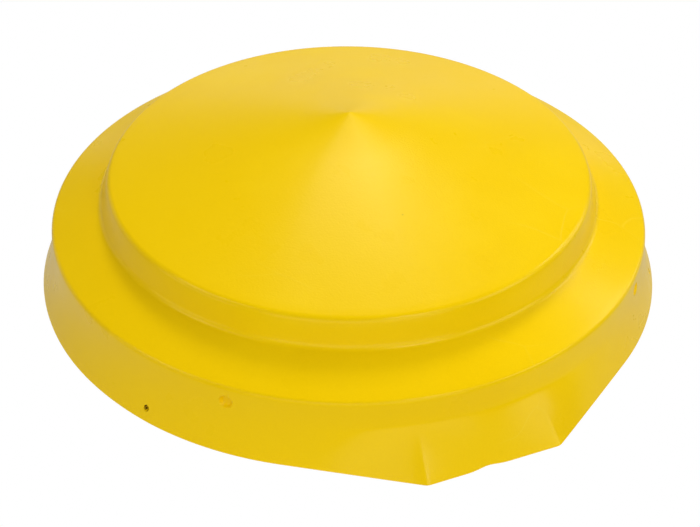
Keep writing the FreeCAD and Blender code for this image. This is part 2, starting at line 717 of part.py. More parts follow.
def make_strut():
    floor = "-sizes.sleeve_bottom"
    bore = "sizes.strut_radius - sizes.strut_wall"
    case = turned("case_bare", [
        ("0", f"{floor} + 2"), ("sizes.strut_radius", f"{floor} + 2"),
        ("sizes.strut_radius", "-sizes.strut_top"), (bore, "-sizes.strut_top"),
        (bore, f"{floor} + 20"), ("0", f"{floor} + 20"),
    ])
    cross_hole = rod("case_pin_hole", "4", "80", ("-40", "0", f"{floor} + 12"), (1, 0, 0))
    node(cut("case_piece", case, [cross_hole]), "strut_cylinder")
    socket = ring("socket_bare", "sizes.strut_radius", "sizes.strut_radius + 8", floor, f"{floor} + 24")
    socket_hole = rod("socket_pin_hole", "4", "80", ("-40", "0", f"{floor} + 12"), (1, 0, 0))
    node(cut("socket_piece", socket, [socket_hole]), "strut_socket")
    pin = rod("strut_pin_piece", "4", "2 * (sizes.strut_radius + 12)",
              ("-sizes.strut_radius - 12", "0", f"{floor} + 12"), (1, 0, 0))
    node(pin, "strut_pin")
    gland = turned("gland_piece", [
        ("sizes.rod_radius + 0.05", "-sizes.strut_top - 12"), (bore, "-sizes.strut_top - 12"),
        (bore, "-sizes.strut_top"), ("sizes.strut_radius", "-sizes.strut_top"),
        ("sizes.strut_radius", "-sizes.strut_top + 5"), ("sizes.rod_radius + 0.05", "-sizes.strut_top + 5"),
    ])
    node(gland, "strut_gland")
    shaft = rod("rod_piece", "sizes.rod_radius", "sizes.rod_bottom - sizes.rod_top",
                ("0", "0", "-sizes.rod_bottom"))
    node(shaft, "strut_rod")
    piston = ring("piston_piece", "sizes.rod_radius", f"{bore} - 0.1", "-sizes.rod_bottom + 2",
                  "-sizes.rod_bottom + 18")
    node(piston, "strut_piston")
    bar_low = "-sizes.crossbar_top - sizes.crossbar_height"
    bar = box("crossbar_block", "2 * sizes.post_radius", "sizes.crossbar_width", "sizes.crossbar_height",
              ("-sizes.post_radius", "-sizes.crossbar_width / 2", bar_low))
    bar_bore = rod("crossbar_hole", "sizes.rod_radius", "40", ("0", "0", f"{bar_low} - 5"))
    bar_round = rod("crossbar_trim", "sizes.post_radius - sizes.post_wall", "40", ("0", "0", f"{bar_low} - 5"))
    trimmed = doc.addObject("Part::Common", "crossbar_round")
    trimmed.Base = bar
    trimmed.Tool = bar_round
    node(cut("crossbar_piece", trimmed, [bar_bore]), "strut_crossbar")
    for label, low in (("rod_nut_upper", "-sizes.crossbar_top"), ("rod_nut_lower", f"{bar_low} - 8")):
        nut = doc.addObject("Part::Prism", f"{label}_hex")
        nut.Polygon = 6
        nut.setExpression("Circumradius", "sizes.rod_radius * 1.8")
        nut.Height = 8
        put(nut, ("0", "0", low))
        nut_bore = rod(f"{label}_bore", "sizes.rod_radius", "8", ("0", "0", low))
        node(cut(f"{label}_piece", nut, [nut_bore]), label)


make_hood()
make_locating_ring()
make_post()
make_lifting_recess()
make_lower_ring()
make_sleeve()
make_sleeve_top()
make_barrel()
make_bolt()
make_lock_box()
make_flap()
make_strut()
doc.recompute()

for piece in doc.Objects:
    if "Invalid" in piece.State or "Error" in piece.State:
        raise RuntimeError(f"{piece.Name} failed to build")
for piece in nodes:
    if piece.Shape.isNull() or not piece.Shape.isValid() or not piece.Shape.Solids:
        raise RuntimeError(f"{piece.Label} has no valid solid")

os.makedirs("parts", exist_ok=True)
for piece in nodes:
    piece.Shape.exportStep(f"parts/{piece.Label}.step")
    box_size = piece.Shape.BoundBox
    print(f"{piece.Label}: {len(piece.Shape.Solids)} solids, {piece.Shape.Volume / 1000:.1f} cm3, "
          f"z {box_size.ZMin:.1f} to {box_size.ZMax:.1f}")
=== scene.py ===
import json
import math

import bpy
import numpy as np
from mathutils import Matrix, Vector


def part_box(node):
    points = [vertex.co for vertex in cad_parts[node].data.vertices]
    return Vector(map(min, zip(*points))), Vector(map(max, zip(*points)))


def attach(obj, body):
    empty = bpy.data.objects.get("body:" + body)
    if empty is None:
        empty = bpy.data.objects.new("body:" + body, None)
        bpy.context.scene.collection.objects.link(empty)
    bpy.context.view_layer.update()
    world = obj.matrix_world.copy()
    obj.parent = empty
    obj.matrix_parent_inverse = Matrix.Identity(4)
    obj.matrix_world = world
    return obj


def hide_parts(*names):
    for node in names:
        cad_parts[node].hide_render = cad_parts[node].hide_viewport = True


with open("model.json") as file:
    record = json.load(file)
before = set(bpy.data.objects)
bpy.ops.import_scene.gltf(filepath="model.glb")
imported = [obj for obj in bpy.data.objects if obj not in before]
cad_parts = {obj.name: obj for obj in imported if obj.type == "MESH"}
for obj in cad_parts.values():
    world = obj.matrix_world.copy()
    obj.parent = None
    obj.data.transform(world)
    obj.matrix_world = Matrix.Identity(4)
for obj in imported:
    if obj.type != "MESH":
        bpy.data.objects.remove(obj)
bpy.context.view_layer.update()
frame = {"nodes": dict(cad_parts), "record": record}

# A lowered in-ground bollard under its stepped yellow hood. Lengths are metres. The bollard stands
# on its own axis, +Z up, paving at height 0, with the lock and the hood's flat pad towards -Y. A
# bearing is an angle round the axis from the pad's direction, positive towards +X.

MM = 0.001


# ---------------------------------------------------------------- camera and light

HOOD_LOW, HOOD_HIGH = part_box("hood")
BASE = HOOD_HIGH.x

VIEW_BEARING = math.radians(-23.8)
VIEW_ELEVATION = math.radians(37.25)
VIEW_DISTANCE = 6.0 * BASE
VIEW_ROLL = math.radians(0.61)
VIEW_AIM_RIGHT = 0.006 * BASE
VIEW_AIM_DOWN = 0.014 * BASE
LENS = 92.98

# soft boxes: bearing and elevation in degrees, distance, width, height, watts
SOFT_BOXES = {
    "front_box": (-20, 20, 1.8, 2.6, 1.1, 15.0),
    "front_left_box": (-77, 45, 1.6, 0.45, 0.3, 0.8),
    "front_right_box": (8, 45, 1.6, 0.45, 0.35, 3.3),
    "right_front_box": (45, 30, 1.6, 0.8, 0.6, 4.5),
    "right_box": (88, 36, 1.6, 0.5, 0.4, 2.9),
    "right_low_box": (90, 16, 1.6, 0.5, 0.4, 1.7),
    "fan_box": (156, 62, 1.8, 0.6, 0.45, 3.0),
    "back_box": (149, 51, 1.8, 0.4, 0.35, 17.5),
    "low_back_box": (156, 8, 1.8, 2.0, 0.4, 1.5),
    "low_left_box": (-138, 9, 1.8, 1.0, 0.5, 1.0),
    "left_low_box": (-90, 12, 1.8, 1.2, 0.6, 3.4),
    "left_box": (-95, 38, 1.6, 0.5, 0.4, 2.3),
}
ROOM_LIGHT = 0.09
BACKDROP = 0.80
FLOOR_GLOW = 0.61
FLOOR_SHEEN = 0.54
FLOOR_RADIUS = 0.47
FLOOR_LEVEL = 0.3 * MM
FLOOR_SIDES = 96
PIT_GAP = 0.5 * MM


def direction(bearing, elevation):
    """The unit vector towards a bearing and an elevation, both in radians."""
    level = math.cos(elevation)
    return Vector((math.sin(bearing) * level, -math.cos(bearing) * level, math.sin(elevation)))


def make_camera():
    """The view towards the foot of the hood from its bearing and elevation, rolled a little."""
    back = direction(VIEW_BEARING, VIEW_ELEVATION)
    level = direction(VIEW_BEARING + math.pi / 2, 0)
    upright = back.cross(level)
    right = level * math.cos(VIEW_ROLL) + upright * math.sin(VIEW_ROLL)
    up = upright * math.cos(VIEW_ROLL) - level * math.sin(VIEW_ROLL)
    aim = level * VIEW_AIM_RIGHT - Vector((0, 0, VIEW_AIM_DOWN))
    camera = bpy.data.objects.new("camera", bpy.data.cameras.new("camera"))
    camera.data.lens = LENS
    turn = Matrix((right, up, back)).transposed().to_4x4()
    camera.matrix_world = Matrix.Translation(aim + back * VIEW_DISTANCE) @ turn
    bpy.context.scene.collection.objects.link(camera)
    bpy.context.scene.camera = camera


def make_lights():
    """Soft boxes that face the hood from all round, and a dim room behind them."""
    for name, (bearing, elevation, distance, width, height, watts) in SOFT_BOXES.items():
        light = bpy.data.lights.new(name, "AREA")
        light.shape = "RECTANGLE"
        light.size, light.size_y, light.energy = width, height, watts
        box = bpy.data.objects.new(name, light)
        away = direction(math.radians(bearing), math.radians(elevation))
        facing = away.to_track_quat("Z", "Y").to_matrix().to_4x4()
        box.matrix_world = Matrix.Translation(away * distance) @ facing
        box.visible_camera = False
        bpy.context.scene.collection.objects.link(box)
    world = bpy.data.worlds.new("studio")
    world.use_nodes = True
    room = world.node_tree.nodes["Background"]
    room.inputs["Color"].default_value = (1, 1, 1, 1)
    path = world.node_tree.nodes.new("ShaderNodeLightPath")
    level = world.node_tree.nodes.new("ShaderNodeMapRange")
    level.inputs["To Min"].default_value = ROOM_LIGHT
    level.inputs["To Max"].default_value = BACKDROP
    world.node_tree.links.new(path.outputs["Is Camera Ray"], level.inputs["Value"])
    world.node_tree.links.new(level.outputs["Result"], room.inputs["Strength"])
    bpy.context.scene.world = world
    bpy.context.scene.view_settings.view_transform = "Standard"


# ---------------------------------------------------------------- surfaces


def grid_faces(grid, closed, ring):
    """The points and faces of one grid of points, rows by columns by 3. Columns join up where it
    is closed, and rows too where it is a ring. A first or last row squeezed into one point is a
    pole, and its faces are triangles."""
    rows, columns = grid.shape[:2]
    index = np.arange(rows * columns).reshape(rows, columns)
    for end in (0, -1):
        if np.ptp(grid[end], axis=0).max() < 1e-9:
            index[end] = index[end, 0]
    used, index = np.unique(index, return_inverse=True)
    index = index.reshape(rows, columns)
    if closed:
        index = np.concatenate([index, index[:, :1]], axis=1)
    if ring:
        index = np.concatenate([index, index[:1]], axis=0)
    quads = np.stack([index[:-1, :-1], index[:-1, 1:], index[1:, 1:], index[1:, :-1]], axis=-1)
    quads = quads.reshape(-1, 4)
    low_fan = quads[:, 0] == quads[:, 1]
    high_fan = quads[:, 2] == quads[:, 3]
    faces = [quads[~low_fan & ~high_fan], quads[low_fan][:, [0, 2, 3]], quads[high_fan][:, :3]]
    return grid.reshape(-1, 3)[used], faces


def surface(name, grids, body, finish, closed=True, ring=False, sharp=35):
    """A piece made of one or more grids of points. Rows run up the outside of the shape and columns
    run counter-clockwise seen from above, so that its faces point outwards. Edges that bend more
    than sharp degrees stay sharp."""
    points, faces, count = [], [], 0
    for grid in grids:
        own_points, own_faces = grid_faces(grid, closed, ring)
        points.append(own_points)
        for kind in own_faces:
            faces.extend((kind + count).tolist())
        count += len(own_points)
    mesh = bpy.data.meshes.new(name)
    mesh.from_pydata(np.concatenate(points).tolist(), [], faces)
    mesh.shade_smooth()
    mesh.set_sharp_from_angle(angle=math.radians(sharp))
    mesh.materials.append(finish)
    piece = bpy.data.objects.new(name, mesh)
    bpy.context.scene.collection.objects.link(piece)
    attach(piece, body)
    return piece


def rounded_profile(corners, roundings, steps=8):
    """An outline through (radius, height) corners, each inner one replaced by an arc that touches
    the lines to both its neighbours: the arc starts and ends at rounding x tan(half the turn) from
    the corner."""
    corners = [np.array(c, float) for c in corners]
    pieces = [corners[0][None]]
    for before, corner, after, rounding in zip(corners, corners[1:], corners[2:], roundings):
        into = (corner - before) / np.linalg.norm(corner - before)
        out = (after - corner) / np.linalg.norm(after - corner)
        turn = math.atan2(into[0] * out[1] - into[1] * out[0], into @ out)
        reach = rounding * math.tan(abs(turn) / 2)
        start = corner - into * reach
        side = np.array([-into[1], into[0]]) * math.copysign(1, turn)
        centre = start + side * rounding
        angles = np.linspace(0, turn, steps + 1)[:, None]
        spoke = start - centre
        across = np.array([-spoke[1], spoke[0]])
        pieces.append(centre + spoke * np.cos(angles) + across * np.sin(angles))
    pieces.append(corners[-1][None])
    return np.concatenate(pieces)


def filled(outline, spacing):
    """The outline with points added so that no step along it is longer than spacing."""
    pieces = []
    for start, end in zip(outline, outline[1:]):
        count = max(1, math.ceil(np.linalg.norm(end - start) / spacing))
        pieces.append(start + (end - start) * (np.arange(count) / count)[:, None])
    pieces.append(outline[-1:])
    return np.concatenate(pieces)


# ---------------------------------------------------------------- hood

# the hood's outline as parts of its base radius: (radius, height) of each corner, and its rounding
SKIRT_TOP = (0.955, 0.213)
STEP_FOOT = (0.795, 0.2825)
STEP_RIM = (0.767, 0.369)
TIP_START = (0.100, 0.546)
EDGE_ROUNDING = 0.024
FOOT_ROUNDING = 0.030
RIM_ROUNDING = 0.026
TIP_ROUNDING = 3
INNER_ROUNDING = 0.8
WALL = 3.5 * MM
SKIRT_HOLLOW = 0.011 * BASE
DRAFT = (1 - SKIRT_TOP[0]) / SKIRT_TOP[1]

# the flat pad, which folds out of the skirt below PAD_FOLD. The faint end of its soft fold is cut
# off where the share of the fold's height that is left has fallen to FOLD_CUT
PAD_FOLD = 0.125 * BASE
PAD_REACH = -HOOD_LOW.y
PAD_HALF_WIDTH = 0.2150 * BASE
PAD_CORNER = 2.0 * MM
FOLD_SOFTNESS = 0.05
FOLD_CUT = -1.5
CORNER_BEARING = math.atan2(PAD_HALF_WIDTH, PAD_REACH)
TANGENT_BEARING = CORNER_BEARING + math.acos(BASE / math.hypot(PAD_HALF_WIDTH, PAD_REACH))

# the bottom edge, trimmed by hand: the height of its waves, and one nick
EDGE_WAVE = 0.25 * MM
NICK_DEPTH = 0.9 * MM
NICK_BEARING = math.radians(-1.0)
NICK_WIDTH = math.radians(1.9)

# round spot marks high on the skirt, and small holes near its bottom edge
MARK_BEARINGS = np.radians([-135, -45, 45, 135])
MARK_HEIGHT, MARK_RADIUS, MARK_DEPTH, MARK_STEEPNESS = 32.4 * MM, 4.4 * MM, 2.5 * MM, 2.6
HOLE_BEARINGS = np.radians([-60.7, 60.7])
HOLE_HEIGHT, HOLE_RADIUS, HOLE_DEPTH, HOLE_STEEPNESS = 8 * MM, 2 * MM, 3.3 * MM, 5
# faces within this radius of a hole's middle, and within OUTER_SKIN_DEPTH of the outer skin, get
# painted dark shade
HOLE_SHADE_RADIUS = 0.92 * HOLE_RADIUS
OUTER_SKIN_DEPTH = 0.98 * WALL

# where the hood's columns lie, in degrees, and its skirt's rows, in millimetres up from the edge.
# Each set is a start, an end and a step. Columns at creases, marks and holes count from the middle
ALL_ROUND_COLUMNS = (-180, 180, 1.5)
PAD_COLUMNS = (-36, 36.01, 0.75)
CREASE_COLUMNS = (-2, 2.01, 0.25)
MARK_COLUMNS = (-1.6, 1.61, 0.16)
HOLE_COLUMNS = (-0.78, 0.79, 0.078)
SKIRT_ROWS = (0, 37.5, 1.8)
HOLE_ROWS = (5.4, 10.7, 0.28)
FOLD_ROWS = (22.5, 27.6, 0.5)
MARK_ROWS = (28, 37, 0.45)

# above the skirt: the least gap to its last row, and the longest step along each skin's outline
ROW_GAP = 0.4 * MM
OUTER_SPACING = 5 * MM
INNER_SPACING = 14 * MM


def hood_bearings():
    """The bearings of the hood's columns, closer over the pad, its creases, the marks and the
    holes."""
    sets = [np.arange(*ALL_ROUND_COLUMNS), np.arange(*PAD_COLUMNS)]
    for crease in (-1, 1):
        sets.append(np.degrees(crease * CORNER_BEARING) + np.arange(*CREASE_COLUMNS))
    for mark in np.degrees(MARK_BEARINGS):
        sets.append(mark + np.arange(*MARK_COLUMNS))
    for hole in np.degrees(HOLE_BEARINGS):
        sets.append(hole + np.arange(*HOLE_COLUMNS))
    bearings = np.unique(np.round(np.concatenate(sets), 3))
    return np.radians(bearings[(bearings >= -180) & (bearings < 180)])


def pad_offset(bearings):
    """How far the pad's bottom edge stands out from the base circle, as XY vectors, one for each
    bearing. The edge is three straight lines, from the circle's tangent points to the pad's two
    corners, walked evenly with the bearing, and each corner is rounded by a parabola."""
    tangent = BASE * np.array([math.sin(TANGENT_BEARING), -math.cos(TANGENT_BEARING)])
    pad_corner = np.array([PAD_HALF_WIDTH, -PAD_REACH])
    path = np.array([tangent * (-1, 1), pad_corner * (-1, 1), pad_corner, tangent])
    knots = np.array([-TANGENT_BEARING, -CORNER_BEARING, CORNER_BEARING, TANGENT_BEARING])
    lengths = np.concatenate([[0], np.cumsum(np.linalg.norm(np.diff(path, axis=0), axis=1))])
    walked = np.interp(bearings, knots, lengths)

    def along(distance):
        return np.stack([np.interp(distance, lengths, path[:, axis]) for axis in (0, 1)], axis=-1)

    edge = along(walked)
    for corner, place in zip(path[1:3], lengths[1:3]):
        near = np.abs(walked - place) < PAD_CORNER
        share = ((walked - place) / PAD_CORNER / 2 + 0.5)[near][:, None]
        start, end = along(place - PAD_CORNER), along(place + PAD_CORNER)
        edge[near] = (1 - share) ** 2 * start + 2 * share * (1 - share) * corner + share**2 * end
    circle = BASE * np.stack([np.sin(bearings), -np.cos(bearings)], axis=-1)
    inside = (np.abs(bearings) < TANGENT_BEARING)[:, None]
    return np.where(inside, edge - circle, 0)


def trimmed_edge(bearings):
    """How far the hand-trimmed bottom edge rises: slow waves all round, the product of seven sine
    waves and three, and one shallow nick on the pad's face, shaped as a bell curve."""
    waves = EDGE_WAVE * (1 + np.sin(7 * bearings + 0.6) * np.sin(3 * bearings + 2))
    nick = NICK_DEPTH * np.exp(-(((bearings - NICK_BEARING) / NICK_WIDTH) ** 2))
    return waves + nick


def dished(depth, radius, distance, steepness):
    """Depth of a round pit at a distance from its middle: flat, then falling off to nothing at its
    radius, along the smooth curve 3s^2 - 2s^3. A higher steepness gives straighter walls."""
    share = np.clip((1 - distance / radius) * steepness, 0, 1)
    return depth * share * share * (3 - 2 * share)


def hood_skin(bearings, outline, inset, trim):
    """One of the hood's skins, as radii, heights, the pad's push and the unit vectors outwards.
    Each row is the outline's (radius, height) turned round the axis. The skirt's rows climb by the
    trim, less and less towards its top, and the skirt is hollow: half a sine wave deep between its
    edges. Below the pad's fold it is also pushed out by the pad's offset times the share of the
    fold's height that is left, so that the pad is ruled straight from its bottom edge to the fold.
    The share fades softly at the fold: it is half the sum of itself and the root of its square
    plus the softness squared."""
    top = SKIRT_TOP[1] * BASE
    radius, height = (np.repeat(outline[:, i : i + 1], len(bearings), axis=1) for i in (0, 1))
    lifted = height + trim * np.clip(1 - height / top, 0, 1)
    radius -= np.where(height < top, DRAFT * (lifted - height), 0)
    height = lifted
    radius -= SKIRT_HOLLOW * np.sin(math.pi * np.clip((height + inset) / top, 0, 1))
    left = 1 - (height + inset) / PAD_FOLD
    share = 0.5 * (left + np.sqrt(left**2 + FOLD_SOFTNESS**2)) * (left > FOLD_CUT)
    pushed = share[..., None] * pad_offset(bearings)[None]
    across = np.stack([np.sin(bearings), -np.cos(bearings)], axis=-1)
    return radius, height, pushed, across


def hood_points():
    """The hood's whole skin as rows: down the inside from its peak to the bottom edge, then up the
    outside to the tip."""
    bearings = hood_bearings()
    outer_corners = [(BASE, 0)]
    outer_corners += [(r * BASE, z * BASE) for r, z in (SKIRT_TOP, STEP_FOOT, STEP_RIM, TIP_START)]
    outer_corners += [(0, HOOD_HIGH.z)]
    roundings = [r * BASE for r in (EDGE_ROUNDING, FOOT_ROUNDING, RIM_ROUNDING, TIP_ROUNDING)]
    outline = rounded_profile(outer_corners, roundings)
    row_sets = [np.arange(*rows) for rows in (SKIRT_ROWS, HOLE_ROWS, FOLD_ROWS, MARK_ROWS)]
    skirt = np.unique(np.round(np.concatenate(row_sets), 3)) * MM
    skirt = np.stack([BASE - DRAFT * skirt, skirt], axis=-1)
    upper = outline[outline[:, 1] > skirt[-1, 1] + ROW_GAP]
    outline = np.concatenate([skirt, filled(upper, OUTER_SPACING)])
    inner_corners = [(r - WALL, max(z - WALL, 0)) for r, z in outer_corners]
    inner = rounded_profile(inner_corners, [r * INNER_ROUNDING for r in roundings], steps=3)
    inner = filled(inner, INNER_SPACING)
    trim = trimmed_edge(bearings)
    radius, height, pushed, across = hood_skin(bearings, outline, 0, trim)
    for bearing in MARK_BEARINGS:
        distance = np.hypot((bearings - bearing) * radius, height - MARK_HEIGHT)
        radius -= dished(MARK_DEPTH, MARK_RADIUS, distance, MARK_STEEPNESS)
    for bearing in HOLE_BEARINGS:
        distance = np.hypot((bearings - bearing) * radius, height - HOLE_HEIGHT)
        radius -= dished(HOLE_DEPTH, HOLE_RADIUS, distance, HOLE_STEEPNESS)
    outside = np.concatenate([radius[..., None] * across + pushed, height[..., None]], axis=-1)
    radius, height, pushed, across = hood_skin(bearings, inner, WALL, trim)
    inside = np.concatenate([radius[..., None] * across + pushed, height[..., None]], axis=-1)
    outside[-1] = (0, 0, HOOD_HIGH.z)
    inside[-1] = (0, 0, HOOD_HIGH.z - WALL)
    return np.concatenate([inside[::-1], outside])


def make_hood(finish, hole_shade_finish):
    """The moulding, with the outer skin's faces inside its two small holes given painted dark
    shade.
    """
    hood = surface("hood_moulding", [hood_points()], "hood_assembly", finish)
    # second material slot: painted dark shade for the insides of the holes
    hood.data.materials.append(hole_shade_finish)
    centres = np.empty(3 * len(hood.data.polygons))
    hood.data.polygons.foreach_get("center", centres)
    centres = centres.reshape(-1, 3)
    bearings = np.arctan2(centres[:, 0], -centres[:, 1])
    radius = np.hypot(centres[:, 0], centres[:, 1])
    skin = BASE - DRAFT * centres[:, 2]
    # painted shade: the faces inside the two holes take the dark second material
    dark = np.zeros(len(centres), bool)
    for bearing in HOLE_BEARINGS:
        distance = np.hypot((bearings - bearing) * radius, centres[:, 2] - HOLE_HEIGHT)
        dark |= (distance < HOLE_SHADE_RADIUS) & (radius > skin - OUTER_SKIN_DEPTH)
    hood.data.polygons.foreach_set("material_index", dark.astype(np.int32))
    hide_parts("hood")


# ---------------------------------------------------------------- screws, seal and welds

SCREW_SIDES = 48
FIRST_SCREW_TURN, SCREW_TURN_STEP = 0.4, 2.3
RETAINER_FIRST_ANGLE = 22.5
SEAL_SIDES = 160
BEAD_SIDES = 10
RIPPLE_STEPS = 6
RIPPLE_LEAN, RIPPLE_SWELL, BEAD_DRIFT = 0.9, 0.10, 0.05


def socket_screw(head_radius, head_height, shank_radius, length, socket_across, socket_depth):
    """The grid of a socket-head screw, its head's top at height 0. Rows run from the shank's end up
    to the head, over its bevel and down the socket. Socket rows are a hexagon: its radius at an
    angle is half the width across flats over the cosine of the angle from the nearest flat's
    middle."""
    turn = np.linspace(0, 2 * math.pi, SCREW_SIDES, endpoint=False)
    flat = socket_across / 2 / np.cos((turn % (math.pi / 3)) - math.pi / 6)
    bevel = 0.12 * head_radius
    round_rows = [
        (0, -length), (shank_radius - bevel, -length), (shank_radius, bevel - length),
        (shank_radius, -head_height), (head_radius - bevel / 2, -head_height),
        (head_radius, bevel / 2 - head_height), (head_radius, -bevel), (head_radius - bevel, 0),
    ]
    hexagon_rows = [(1.12, 0), (1.0, -bevel / 2), (1.0, -socket_depth), (0, -socket_depth - bevel)]
    rows = [(np.full(SCREW_SIDES, radius), height) for radius, height in round_rows]
    rows += [(flat * share, height) for share, height in hexagon_rows]
    radii = np.stack([radius for radius, height in rows])
    heights = np.array([height for radius, height in rows])[:, None] * np.ones(SCREW_SIDES)
    return np.stack([radii * np.cos(turn), radii * np.sin(turn), heights], axis=-1)


def circle_of(grid, count, circle, first_angle, height):
    """Copies of a grid set on a circle round the bollard's axis, each turned a little further."""
    copies = []
    for index in range(count):
        angle = math.radians(first_angle) + index * 2 * math.pi / count
        turn = FIRST_SCREW_TURN + SCREW_TURN_STEP * index
        along, across = math.cos(turn), math.sin(turn)
        spun = grid[..., :2] @ np.array([[along, across], [-across, along]])
        copy = np.concatenate([spun, grid[..., 2:]], axis=-1)
        copies.append(copy + np.array([circle * math.cos(angle), circle * math.sin(angle), height]))
    return copies


def make_head_screws(finish):
    """Six screws that hold the head plate, each with a little room round it in its sink."""
    low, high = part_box("head_screws")
    sink_radius = 7.5 * MM
    grid = socket_screw(
        head_radius=sink_radius - 0.3 * MM, head_height=5 * MM, shank_radius=4 * MM,
        length=high.z - low.z, socket_across=6 * MM, socket_depth=3 * MM,
    )
    screws = circle_of(grid, 6, high.x - sink_radius, 0, high.z)
    name = "head_socket_screws"
    piece = surface(name, screws, "post_assembly", finish, sharp=25)
    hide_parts("head_screws")


def make_retainer_screws(finish):
    """Eight screws that hold the seal's retainer, the first half a step round from +X."""
    low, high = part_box("retainer_screws")
    head_radius = 5 * MM
    grid = socket_screw(
        head_radius=head_radius, head_height=3.5 * MM, shank_radius=3 * MM,
        length=high.z - low.z, socket_across=4 * MM, socket_depth=2 * MM,
    )
    circle = (high.x - head_radius) / math.cos(math.radians(RETAINER_FIRST_ANGLE))
    screws = circle_of(grid, 8, circle, RETAINER_FIRST_ANGLE, high.z)
    name = "retainer_socket_screws"
    piece = surface(name, screws, "ground_assembly", finish, sharp=25)
    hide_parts("retainer_screws")


def make_wiper_seal(finish):
    """The seal's section turned round the axis: a flat foot under the retainer, two fine lips that
    lean in towards the post, and a groove between them."""
    low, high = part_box("wiper_seal")
    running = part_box("post_tube")[1].x + 0.7 * MM
    foot = low.z + 0.1 * MM
    section = [
        (running + 3 * MM, foot), (high.x, foot), (high.x, high.z), (running + 3.4 * MM, high.z),
        (running + 0.6 * MM, high.z + 2.4 * MM), (running, high.z + 2.2 * MM),
        (running + 1.6 * MM, high.z - 0.6 * MM), (running + 1.4 * MM, high.z - 2.2 * MM),
        (running, high.z - 2.4 * MM), (running + 0.3 * MM, high.z - 3.2 * MM),
        (running + 2.8 * MM, high.z - 4.4 * MM),
    ]
    radii, heights = np.array(section).T[..., None]
    around = np.linspace(0, 2 * math.pi, SEAL_SIDES, endpoint=False)
    heights = heights * np.ones(SEAL_SIDES)
    grid = np.stack([radii * np.cos(around), radii * np.sin(around), heights], axis=-1)
    piece = surface("wiper_lips", [grid], "ground_assembly", finish, ring=True)
    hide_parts("wiper_seal")


def weld_bead(circle, centre, height, size, ripples):
    """A weld run round a joint: a ring of round section whose thickness swells and sinks once a
    ripple and drifts slowly round the run. Each ripple leans along the run on its outer side."""
    along = np.linspace(0, 2 * math.pi, ripples * RIPPLE_STEPS, endpoint=False)
    section = np.linspace(0, 2 * math.pi, BEAD_SIDES, endpoint=False)[:, None]
    lag = along * ripples + RIPPLE_LEAN * np.cos(section)
    radius = size * (1 + RIPPLE_SWELL * np.sin(lag) + BEAD_DRIFT * np.sin(along * 7 + 1))
    out = circle + radius * np.cos(section)
    up = height + radius * np.sin(section)
    return np.stack([centre + out * np.cos(along), out * np.sin(along), up], axis=-1)


def make_welds(finish):
    """Beads at the sleeve's flange, at its base plate, kept inside the sleeve's own radius, and at
    the drain spigot."""
    sleeve_low, sleeve_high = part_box("ground_sleeve")
    spigot_low, spigot_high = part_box("drain_spigot")
    base_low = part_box("base_plate")[0]
    spigot_centre = (spigot_low.x + spigot_high.x) / 2
    spigot_radius = (spigot_high.x - spigot_low.x) / 2
    sleeve_radius = sleeve_high.y
    top = weld_bead(sleeve_radius, 0, sleeve_high.z - 1.2 * MM, 2.6 * MM, 150)
    foot = weld_bead(sleeve_radius - 0.8 * MM, 0, sleeve_low.z + 0.4 * MM, 2.2 * MM, 150)
    drain_radius = spigot_radius + 0.4 * MM
    drain = weld_bead(drain_radius, spigot_centre, base_low.z - 0.6 * MM, 2.2 * MM, 36)
    kept = np.minimum(1, sleeve_radius / np.hypot(foot[..., 0], foot[..., 1]))
    foot[..., :2] *= kept[..., None]
    beads = [top, foot, drain]
    surface("weld_beads", beads, "ground_assembly", finish, ring=True, sharp=60)


# ---------------------------------------------------------------- node groups


class Net:
    """A node tree with short ways to add nodes. A value given to a node is a number, a tuple or
    another node's output."""

    def __init__(self, tree):
        self.tree = tree

    def feed(self, socket, value):
        """Links the value to the socket, or sets it there if it is a number or a tuple."""
        if isinstance(value, bpy.types.NodeSocket):
            self.tree.links.new(value, socket)
        else:
            socket.default_value = value

    def add(self, kind, values, output=0, **settings):
        """Adds a node with its settings and socket values, and gives one of its outputs."""
        node = self.tree.nodes.new("ShaderNode" + kind)
        for name, value in settings.items():
            setattr(node, name, value)
        for socket, value in values.items():
            self.feed(node.inputs[socket], value)
        return node.outputs[output]

    def noise(self, place, scale, detail=3.0, roughness=0.5):
        values = {"Vector": place, "Scale": scale, "Detail": detail, "Roughness": roughness}
        return self.add("TexNoise", values)

    def cells(self, place, scale, output="Distance", feature="F1"):
        return self.add("TexVoronoi", {"Vector": place, "Scale": scale}, output, feature=feature)

    def stretched(self, place, scale):
        return self.add("Mapping", {"Vector": place, "Scale": scale})

    def spread(self, value, low, high, to_low=0.0, to_high=1.0):
        """The value's stretch from low to high, carried to to_low..to_high and held at its ends."""
        ends = {"From Min": low, "From Max": high, "To Min": to_low, "To Max": to_high}
        return self.add("MapRange", {"Value": value, **ends})

    def math(self, operation, first, second=0.0):
        return self.add("Math", {0: first, 1: second}, operation=operation)

    def blend(self, share, first, second):
        """The first colour where the share is 0, the second where it is 1."""
        return self.add("Mix", {0: share, 6: first, 7: second}, 2, data_type="RGBA")


def effect(name, sizes, result, build):
    """A node group with a Place, the named numbers with their usual values, and one result, which
    build(net, inputs) works out."""
    group = bpy.data.node_groups.new(name, "ShaderNodeTree")
    group.interface.new_socket("Place", in_out="INPUT", socket_type="NodeSocketVector")
    for label, usual in sizes.items():
        size = group.interface.new_socket(label, in_out="INPUT", socket_type="NodeSocketFloat")
        size.default_value = usual
    group.interface.new_socket(result, in_out="OUTPUT", socket_type="NodeSocketFloat")
    inputs = group.nodes.new("NodeGroupInput").outputs
    outputs = group.nodes.new("NodeGroupOutput").inputs
    group.links.new(build(Net(group), inputs), outputs[result])
    return group


def orange_peel(net, inputs):
    """The dimpled skin of moulded plastic or powder coat: soft bumps, and finer ones a quarter as
    high."""
    soft = net.noise(inputs["Place"], inputs["Scale"], 1.0)
    fine_scale = net.math("MULTIPLY", inputs["Scale"], inputs["Fineness"])
    fine = net.noise(inputs["Place"], fine_scale, 2.0)
    return net.math("ADD", soft, net.math("MULTIPLY", fine, 0.25))


